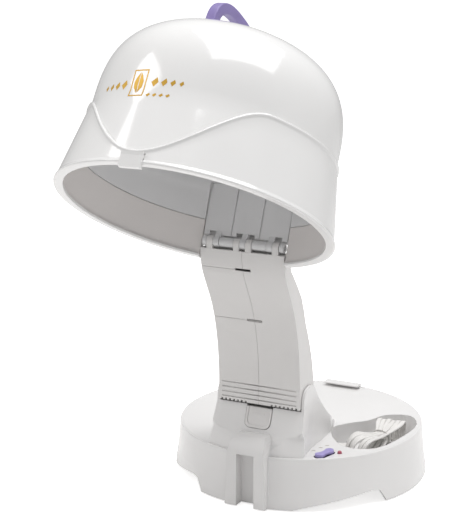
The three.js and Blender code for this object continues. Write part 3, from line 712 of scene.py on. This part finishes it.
    def tie(self) -> bpy.types.Object:
        """Returns the twist tie round the hank's waist.

        Returns:
            the tie.
        """
        bm = bmesh.new()
        bmesh.ops.create_circle(bm, cap_ends=False, segments=10, radius=1.3)
        bmesh.ops.rotate(bm, verts=bm.verts, cent=(0, 0, 0),
                         matrix=Matrix.Rotation(math.pi / 2, 3, "X"))
        bmesh.ops.translate(bm, verts=bm.verts, vec=(10.5, 0, 0))
        bmesh.ops.spin(bm, geom=[*bm.verts, *bm.edges], cent=(0, 0, 0), axis=(0, 1, 0),
                       dvec=(0, 0, 0), angle=math.tau, steps=40, use_merge=True,
                       use_duplicate=False)
        bmesh.ops.scale(bm, verts=bm.verts, vec=(1.15, 1.5, 0.92))
        bmesh.ops.recalc_face_normals(bm, faces=bm.faces)
        middle = math.radians(self.hank_middle_deg)
        height = (self.waist_low + self.waist_high) / 2 + 1.6
        spot = self.hank_point(0, 0, height)
        place = Matrix.Translation(spot) @ Matrix.Rotation(middle - math.pi / 2, 4, "Z")
        piece = placed("cord_tie", bm, BASE_PLACE @ place)
        return dressed(piece, CORD_SHEATH, Body.BASE)


# ------------------------------------------------------------------------------ hood
SIDEWAYS = Matrix(((0, 0, 1, 0), (1, 0, 0, 0), (0, 1, 0, 0), (0, 0, 0, 1)))


@dataclass
class Hood:
    """Deep bonnet: dome, skirt with its wavy bead, inner shells, emblem, tab and handle."""

    rim_radius: float = 161.3
    shoulder_radius: float = 145.5
    shoulder: float = 90.5
    apex: float = 214.3
    power: float = 3.12
    band_top: float = 92.0
    band_dip: float = 16.0
    dip_angle: float = 50.0
    notch_half: float = 57.6
    notch_top: float = 27.6
    facets: int = 176
    handle_y: float = -18.0
    handle_half: float = 62.0
    handle_top: float = 247.0
    handle_foot: float = 205.0
    handle_round: float = 2.6
    handle_width: float = 12.0
    hinge: Pair = (-178.0, 344.0)
    hinge_gaps: tuple[Pair, ...] = ((-54.5, -48.8), (-31.6, -12.4), (12.4, 31.6), (48.8, 54.5))
    sleeve_radius: float = 6.0
    sleeve_bore: float = 2.5
    inner_half: float = 57.4
    inner_low: float = 3.6
    inner_high: float = 46.0
    outlet_count: int = 12
    outlet_radius: float = 5.0
    outlet_lean_deg: float = -38.0
    tab_half: float = 13.6
    tab_top: float = 12.2

    def radius(self, height: float) -> float:
        """Returns the hood's outer radius at a height above its rim.

        Args:
            height: height above the rim.

        Returns:
            the radius in millimetres.
        """
        if height <= self.shoulder:
            drop = (self.rim_radius - self.shoulder_radius) / self.shoulder
            return self.rim_radius - drop * height
        t = min((height - self.shoulder) / (self.apex - self.shoulder), 1.0)
        return self.shoulder_radius * (1.0 - t ** self.power) ** (1.0 / self.power)

    def surface(self, inset: float, low: float, apex_inset: float, steps: int) -> list[Pair]:
        """Returns the hood's side and crown moved inwards, from low to the apex.

        Args:
            inset: distance inwards at the sides.
            low: height of the first point.
            apex_inset: distance down at the apex.
            steps: points over the crown.

        Returns:
            (radius, height) pairs that end on the axis.
        """
        top = self.apex - apex_inset
        sides = [(self.radius(h) - inset, h)
                 for h in (low + (self.shoulder - low) * i / 5 for i in range(5))]
        crown: list[Pair] = []
        for step in range(steps):
            rise = math.sin(math.pi / 2 * step / steps) ** 0.9
            height = self.shoulder + (self.apex - self.shoulder) * rise
            fade = self.radius(height) / self.shoulder_radius
            crown.append((max(self.radius(height) - inset * fade, 1.5),
                          height * top / self.apex))
        return [*sides, *crown, (0.0, top)]

    def shell(self, name: str, outer: list[Pair], inner: list[Pair]) -> bpy.types.Object:
        """Returns a closed bowl between two surfaces, in the hood's own frame."""
        return mesh_object(name, spun([*reversed(inner), *outer], self.facets, False))

    def rear_block(self, half: float, top: float, front: float = 110.0) -> bmesh.types.BMesh:
        """Returns the block that opens the back of a shell for the arm."""
        return block((-half, front, -10.0), (half, 176.0, top))

    def settle(self, piece: bpy.types.Object) -> None:
        """Moves a piece from the hood's frame into the row frame and shades it."""
        piece.data.transform(HOOD_PLACE)
        shade(piece)

    def dome(self) -> None:
        """Builds the outer dome."""
        piece = self.shell("dome_shell", self.surface(0.8, 6.0, 0.6, 30),
                           self.surface(3.1, 6.0, 2.9, 26))
        carved(piece, [self.rear_block(self.notch_half, self.notch_top)])
        self.settle(piece)
        dressed(piece, HOOD_WHITE, Body.HOOD, ["hood_dome"])

    def band_edge(self, azimuth: float) -> float:
        """Returns the height of the skirt's top edge at an angle from the front."""
        share = smooth_step(abs(math.degrees(azimuth)) / self.dip_angle)
        return self.band_dip + (self.band_top - self.band_dip) * share

    def skirt(self) -> None:
        """Builds the skirt with its rolled rim and the bead along its wavy top."""
        rim = [(-8.4, 0.0), (-1.2, 0.0), (0.4, 0.0), (1.5, 0.4), (2.1, 1.3), (2.15, 2.5),
               (1.6, 3.6), (1.0, 4.4)]
        bead = [(0.95, 6.5), (1.25, 4.9), (1.95, 3.7), (2.55, 2.6), (2.65, 1.7), (2.3, 0.7),
                (1.4, 0.05), (0.2, 0.0), (-0.45, 0.6), (-0.5, 3.0)]
        lip = [(-0.5, 3.2), (-8.5, 3.2), (-9.0, 2.7), (-9.0, 0.6)]
        side = [(0.95, share) for share in (0.02, 0.2, 0.4, 0.6, 0.8)]
        inner_side = [(-0.5, share) for share in (0.75, 0.4, 0.05)]
        rows = [*[(100 + o, h) for o, h in rim], *[(100 + o, 100 + 100 * t) for o, t in side],
                *[(100 + o, 300 - d) for o, d in bead],
                *[(100 + o, 100 + 100 * t) for o, t in inner_side],
                *[(100 + o, h) for o, h in lip]]
        bm = spun(rows, 2 * self.facets, True)
        for vert in bm.verts:
            offset = math.hypot(vert.co.x, vert.co.y) - 100.0
            azimuth = math.atan2(vert.co.x, -vert.co.y)
            top, code = self.band_edge(azimuth), vert.co.z
            if code < 50.0:
                height = code
            elif code < 250.0:
                height = 5.0 + (top - 12.0) * (code - 100.0) / 100.0
            else:
                height = top - (300.0 - code)
            reach = self.radius(height) + offset
            vert.co = (reach * math.sin(azimuth), -reach * math.cos(azimuth), height)
        bmesh.ops.recalc_face_normals(bm, faces=bm.faces)
        piece = mesh_object("skirt_shell", bm)
        carved(piece, [self.rear_block(self.notch_half, self.notch_top),
                       block((-self.tab_half, -175.0, -10.0),
                             (self.tab_half, -158.4, self.tab_top))])
        self.settle(piece)
        dressed(piece, HOOD_WHITE, Body.HOOD, ["hood_skirt"])

    def inner_shells(self) -> None:
        """Builds the inner band and the liner with its ring of outlets."""
        outside, inside = 3.8, 6.2
        low, high = self.inner_low, self.inner_high
        section = [(self.radius(h) - inset, h) for inset, h in (
            (outside, low), (outside, high), (5.6, high), (inside, 45.2), (inside, 24.0),
            (inside, low))]
        band = mesh_object("inner_band_ring", spun(section, self.facets, True))
        carved(band, [self.rear_block(self.inner_half, 60.0)])
        self.settle(band)
        dressed(band, INNER_WARM, Body.HOOD, ["hood_inner_band"])

        liner = self.shell("liner_bowl", self.surface(4.8, 46.4, 12.0, 22),
                           self.surface(6.6, 46.4, 13.8, 20))
        outlets = []
        for number in range(self.outlet_count):
            hole = bmesh.new()
            bmesh.ops.create_cone(hole, cap_ends=True, segments=20, depth=70.0,
                                  radius1=self.outlet_radius, radius2=self.outlet_radius)
            hole.transform(Matrix.Translation((0, 0, 60.0))
                           @ Matrix.Rotation(math.tau * (number + 0.5) / self.outlet_count, 4, "Z")
                           @ Matrix.Rotation(math.radians(self.outlet_lean_deg), 4, "Y")
                           @ Matrix.Translation((125.0, 0, 0))
                           @ Matrix.Rotation(math.pi / 2, 4, "Y"))
            outlets.append(hole)
        carved(liner, [self.rear_block(self.inner_half, 92.0, 90.0), gathered(outlets)])
        self.settle(liner)
        dressed(liner, INNER_COOL, Body.HOOD, ["hood_liner"])

    def arch(self, half: float, top: float, steps: int) -> list[Pair]:
        """Returns side points of the handle's arch, rear foot first.

        Args:
            half: half its length over the feet.
            top: height of its crown.
            steps: spans along it.

        Returns:
            (place along the hood, height) pairs.
        """
        points: list[Pair] = []
        for step in range(steps + 1):
            angle = math.pi * step / steps
            c, s = math.cos(angle), max(math.sin(angle), 0.0)
            along = math.copysign(abs(c) ** (2.0 / self.handle_round), c)
            rise = s ** (2.0 / self.handle_round)
            points.append((self.handle_y + half * along,
                           self.handle_foot + (top - self.handle_foot) * rise))
        return points

    def handle(self) -> None:
        """Builds the carrying handle over the crown."""
        outer = self.arch(self.handle_half, self.handle_top, 48)
        inner = self.arch(self.handle_half - 13.0, self.handle_top - 12.0, 40)
        place = (HOOD_PLACE @ Matrix.Translation((-self.handle_width / 2, 0, 0)) @ SIDEWAYS)
        bm = slab([*outer, *reversed(inner)], self.handle_width, None, 1.6)
        piece = placed("carry_handle", bm, place)
        dressed(piece, VIOLET, Body.HOOD, ["handle"])

    def on_dome(self, across: float, height: float, lift: float) -> Vector:
        """Returns a point on the dome's front, the distance across measured to the right.

        Args:
            across: distance round the dome.
            height: height above the rim.
            lift: distance off the surface.

        Returns:
            the point in the hood's frame.
        """
        azimuth = across / self.shoulder_radius
        reach = self.radius(height) - 0.8 + lift
        return Vector((reach * math.sin(azimuth), -reach * math.cos(azimuth), height))

    def emblem(self) -> None:
        """Builds the gold emblem: a framed leaf between two rows of lozenges."""
        shapes: list[bmesh.types.BMesh] = []

        def stamp(outline: Sequence[Pair]) -> None:
            """Adds one flat shape, given in distance across and height.

            Args:
                outline: corners of the shape.
            """
            shape = slab(outline, 0.16)
            bmesh.ops.triangulate(shape, faces=[f for f in shape.faces if len(f.verts) > 4])
            bmesh.ops.subdivide_edges(shape, edges=[e for e in shape.edges
                                                    if e.calc_length() > 3.0],
                                      cuts=3, use_grid_fill=True)
            shapes.append(shape)

        def lozenge(across: float, height: float, wide: float, tall: float) -> None:
            """Adds a lean lozenge round a middle point.

            Args:
                across: middle, round the dome.
                height: middle, above the rim.
                wide: width.
                tall: height.
            """
            lean = 0.18 * tall
            stamp([(across - wide / 2, height), (across - lean * 0.2, height - tall / 2),
                   (across + wide / 2, height), (across + lean, height + tall / 2)])

        for across, tall in ((-82, 6.5), (-72, 8.0), (-61.5, 9.5), (-50, 11.0)):
            lozenge(across, 98.0, tall * 0.8, tall)
        for across, tall in ((-8, 11.0), (3.5, 9.5), (14, 8.0), (24, 6.5)):
            lozenge(across, 100.0, tall * 0.8, tall)
        for across in (-12, -4, 4, 12):
            lozenge(across, 84.5, 5.4, 4.6)
        left, right, low, high, bar = -39.0, -19.0, 83.0, 115.0, 1.5
        for x0, x1, z0, z1 in ((left, left + bar, low, high), (right - bar, right, low, high),
                               (left, right, low, low + bar), (left, right, high - bar, high)):
            stamp([(x0, z0), (x1, z0), (x1, z1), (x0, z1)])
        middle = (left + right) / 2
        for side in (-1, 1):
            stem = [(middle + side * 0.5, 87.0), (middle + side * 5.6, 94.0),
                    (middle + side * 6.2, 101.0), (middle + side * 3.4, 107.5),
                    (middle + side * 0.5, 111.5)]
            stamp(stem if side > 0 else stem[::-1])
        bm = gathered(shapes)
        for vert in bm.verts:
            vert.co = self.on_dome(vert.co.x, vert.co.y, vert.co.z - 0.04)
        bmesh.ops.recalc_face_normals(bm, faces=bm.faces)
        piece = placed("gold_emblem", bm, HOOD_PLACE)
        dressed(piece, GOLD, Body.HOOD)

    def sleeves(self) -> None:
        """Builds the spacer sleeves that close the gaps between the hinge knuckles."""
        rings = []
        for low, high in self.hinge_gaps:
            wide, bevel = self.sleeve_radius, 0.4
            section = [(self.sleeve_bore, low), (wide - bevel, low), (wide, low + bevel),
                       (wide, high - bevel), (wide - bevel, high), (self.sleeve_bore, high)]
            rings.append(spun(section, 36, True))
        place = (BASE_PLACE @ Matrix.Translation((0, *self.hinge))
                 @ Matrix.Rotation(math.pi / 2, 4, "Y"))
        piece = placed("hinge_sleeves", gathered(rings), place)
        dressed(piece, INNER_COOL, Body.HOOD)

    def build(self) -> None:
        """Builds every piece of the hood."""
        self.sleeves()
        self.dome()
        self.skirt()
        self.inner_shells()
        self.handle()
        self.emblem()
        refined("duct_cover", "duct_panels", INNER_COOL, Body.HOOD)
        refined("latch_tab", "snap_tab", HOOD_WHITE, Body.LATCH)
        refined("hinge_pin", "knuckle_pin", STEEL, Body.ARM)


# ------------------------------------------------------------------------------ arm and base
@dataclass
class Arm:
    """Hollow arm in two halves."""

    sides: tuple[str, str] = ("left", "right")

    def build(self) -> None:
        """Builds both halves of the arm."""
        for side in self.sides:
            refined(f"arm_shell_{side}", f"arm_half_{side}", SATIN_WHITE, Body.ARM)


@dataclass
class Base:
    """Round base with its controls, feet and fittings."""

    deck: float = 68.0
    switch: Pair = (85.0, -119.0)
    switch_turn: float = math.radians(-17.0)
    lamp: Pair = (100.5, -106.0)
    feet_circle: float = 143.0
    mark_turn: float = math.radians(28.0)
    marks: tuple[Pair, ...] = ((67.0, -112.0), (71.0, -98.0), (75.5, -87.5))

    def rocker(self) -> None:
        """Builds the rocker cap, wider at both ends."""
        lobe: list[Pair] = []
        for degrees in range(-8, 189, 14):
            angle = math.radians(degrees)
            lobe.append((6.2 * math.cos(angle), 9.2 + 6.0 * math.sin(angle)))
        waist = [(-4.7, 3.2), (-4.4, 0.0), (-4.7, -3.2)]
        outline = [*lobe, *waist, *[(-x, -y) for x, y in lobe], *[(-x, -y) for x, y in waist]]
        bm = slab(outline, 4.6, None, 1.1)
        for vert in bm.verts:
            if vert.co.z > 2.0:
                vert.co.z += 1.1 * (abs(vert.co.y) / 15.0) ** 2 - 0.5
        place = (BASE_PLACE @ Matrix.Translation((*self.switch, self.deck - 0.5))
                 @ Matrix.Rotation(self.switch_turn, 4, "Z"))
        piece = placed("rocker_cap", bm, place)
        dressed(piece, VIOLET_SWITCH, Body.SWITCH, ["switch_cap"])

    def lamp_lens(self) -> None:
        """Builds the domed pilot lamp."""
        dome = [(2.8 * math.cos(a), 69.2 + 2.3 * math.sin(a))
                for a in (math.pi / 2 * i / 7 for i in range(7))]
        bm = spun([(0.0, 60.0), (2.8, 60.0), *dome, (0.0, 71.5)], 32, False)
        place = BASE_PLACE @ Matrix.Translation((*self.lamp, 0))
        piece = placed("pilot_lamp", bm, place)
        dressed(piece, LENS_RED, Body.BASE, ["lamp_lens"])

    def switch_marks(self) -> None:
        """Builds the plain position marks beside the rocker."""
        bars = []
        for spot in self.marks:
            outline = [(-2.0, -0.65), (2.0, -0.65), (2.4, 0.0), (2.0, 0.65), (-2.0, 0.65),
                       (-2.4, 0.0)]
            place = (Matrix.Translation((*spot, self.deck + 0.02))
                     @ Matrix.Rotation(self.mark_turn, 4, "Z"))
            bars.append(slab(outline, 0.12, place))
        piece = placed("switch_marks", gathered(bars), BASE_PLACE)
        dressed(piece, MARK_INK, Body.BASE)

    def foot(self, name: str, degrees: float) -> None:
        """Builds one rubber foot with a ring in its sole.

        Args:
            name: where the foot is.
            degrees: angle from the front towards the right.
        """
        profile = [(0.0, 0.5), (5.2, 0.5), (5.6, 0.0), (8.2, 0.0), (9.2, 0.5), (9.6, 1.4),
                   (9.6, 3.1), (0.0, 3.1)]
        angle = math.radians(degrees)
        spot = (self.feet_circle * math.sin(angle), -self.feet_circle * math.cos(angle), 0.0)
        piece = placed(f"foot_pad_{name}", spun(profile, 40, False),
                       BASE_PLACE @ Matrix.Translation(spot))
        dressed(piece, RUBBER, Body.BASE, [f"rubber_foot_{name}"])

    def build(self) -> None:
        """Builds every piece of the base that shows."""
        refined("base_shell", "base_moulding", GLOSS_WHITE, Body.BASE)
        refined("bottom_cover", "underside_cover", SATIN_WHITE, Body.BASE)
        refined("rear_hook", "rear_catch", GLOSS_WHITE, Body.BASE)
        refined("release_button", "push_button", SATIN_WHITE, Body.BUTTON)
        self.rocker()
        self.lamp_lens()
        self.switch_marks()
        for name, degrees in (("front", 0), ("right", 90), ("rear", 180), ("left", 270)):
            self.foot(name, degrees)


# ------------------------------------------------------------------------------ camera
@dataclass
class Studio:
    """Pale table, soft lights and the camera."""

    focal_px: float = 1494.2
    frame_px: float = 458.0
    sensor: float = 36.0
    pitch_deg: float = 13.23
    azimuth_deg: float = 26.48
    distance: float = 1928.4
    height: float = 739.7
    sideways: float = -97.65
    sky_light: float = 0.46
    table_half: float = 45.0
    aim: tuple[float, float, float] = (0.0, 0.0, 0.33)

    def camera(self) -> None:
        """Sets the camera at the view of the front, a little from the right and above."""
        azimuth, pitch = math.radians(self.azimuth_deg), math.radians(self.pitch_deg)
        away = Vector((math.sin(azimuth), -math.cos(azimuth), 0.0))
        right = Vector((math.cos(azimuth), math.sin(azimuth), 0.0))
        spot = away * self.distance + right * self.sideways + Vector((0, FRAME_Y, self.height))
        data = bpy.data.cameras.new("studio_camera")
        data.sensor_fit = "HORIZONTAL"
        data.sensor_width = self.sensor
        data.lens = self.focal_px / self.frame_px * self.sensor
        data.clip_start, data.clip_end = 0.05, 30.0
        view = bpy.data.objects.new("studio_camera", data)
        bpy.context.scene.collection.objects.link(view)
        look = -away * math.cos(pitch) - Vector((0, 0, math.sin(pitch)))
        view.location = spot * MM
        view.rotation_euler = look.to_track_quat("-Z", "Y").to_euler()
        bpy.context.scene.camera = view

    def light(self, name: str, spot: Sequence[float], size: float, power: float,
              tone: Colour) -> None:
        """Adds one soft light aimed at the dryer.

        Args:
            name: name of the light.
            spot: place in metres.
            size: edge of the square light in metres.
            power: watts.
            tone: colour.
        """
        data = bpy.data.lights.new(name, "AREA")
        data.shape = "SQUARE"
        data.size = size
        data.energy = power
        data.color = tone
        lamp = bpy.data.objects.new(name, data)
        bpy.context.scene.collection.objects.link(lamp)
        lamp.location = spot
        aim = Vector(self.aim) - Vector(spot)
        lamp.rotation_euler = aim.to_track_quat("-Z", "Y").to_euler()

    def build(self) -> None:
        """Builds the table, the sky, the lights and the camera."""
        bm = bmesh.new()
        bmesh.ops.create_grid(bm, x_segments=8, y_segments=8, size=self.table_half)
        table = mesh_object("table_top", bm)
        table.data.materials.append(TABLE.material())
        world = bpy.data.worlds.new("studio_sky")
        world.use_nodes = True
        nodes, links = world.node_tree.nodes, world.node_tree.links
        sky = nodes["Background"]
        sky.inputs["Color"].default_value = (1.0, 1.0, 1.0, 1.0)
        sky.inputs["Strength"].default_value = self.sky_light
        backdrop = nodes.new("ShaderNodeBackground")
        seen = nodes.new("ShaderNodeLightPath")
        mix = nodes.new("ShaderNodeMixShader")
        links.new(seen.outputs["Is Camera Ray"], mix.inputs["Fac"])
        links.new(sky.outputs["Background"], mix.inputs[1])
        links.new(backdrop.outputs["Background"], mix.inputs[2])
        backdrop.inputs["Color"].default_value = (1.0, 1.0, 1.0, 1.0)
        links.new(mix.outputs["Shader"], nodes["World Output"].inputs["Surface"])
        bpy.context.scene.world = world
        bpy.context.scene.view_settings.view_transform = "Standard"
        self.light("key_left", (-1.9, -1.1, 2.0), 1.2, 17.0, (1.0, 0.985, 0.97))
        self.light("top_soft", (0.5, 0.35, 2.5), 2.0, 50.0, (1.0, 1.0, 1.0))
        self.camera()


def main() -> None:
    """Builds the dryer and its studio in order."""
    logging.basicConfig(level=logging.INFO, format="%(name)s: %(message)s")
    for entry in frame["record"]["subparts"]:
        node = frame["nodes"][entry["node"]]
        finish = CAD_FINISHES[Slot(entry["material_slot"])]
        node.data.materials.clear()
        node.data.materials.append(finish.material())
    Studio().build()
    MainsCord().build()
    Base().build()
    Arm().build()
    Hood().build()


if __name__ == "__main__":
    main()
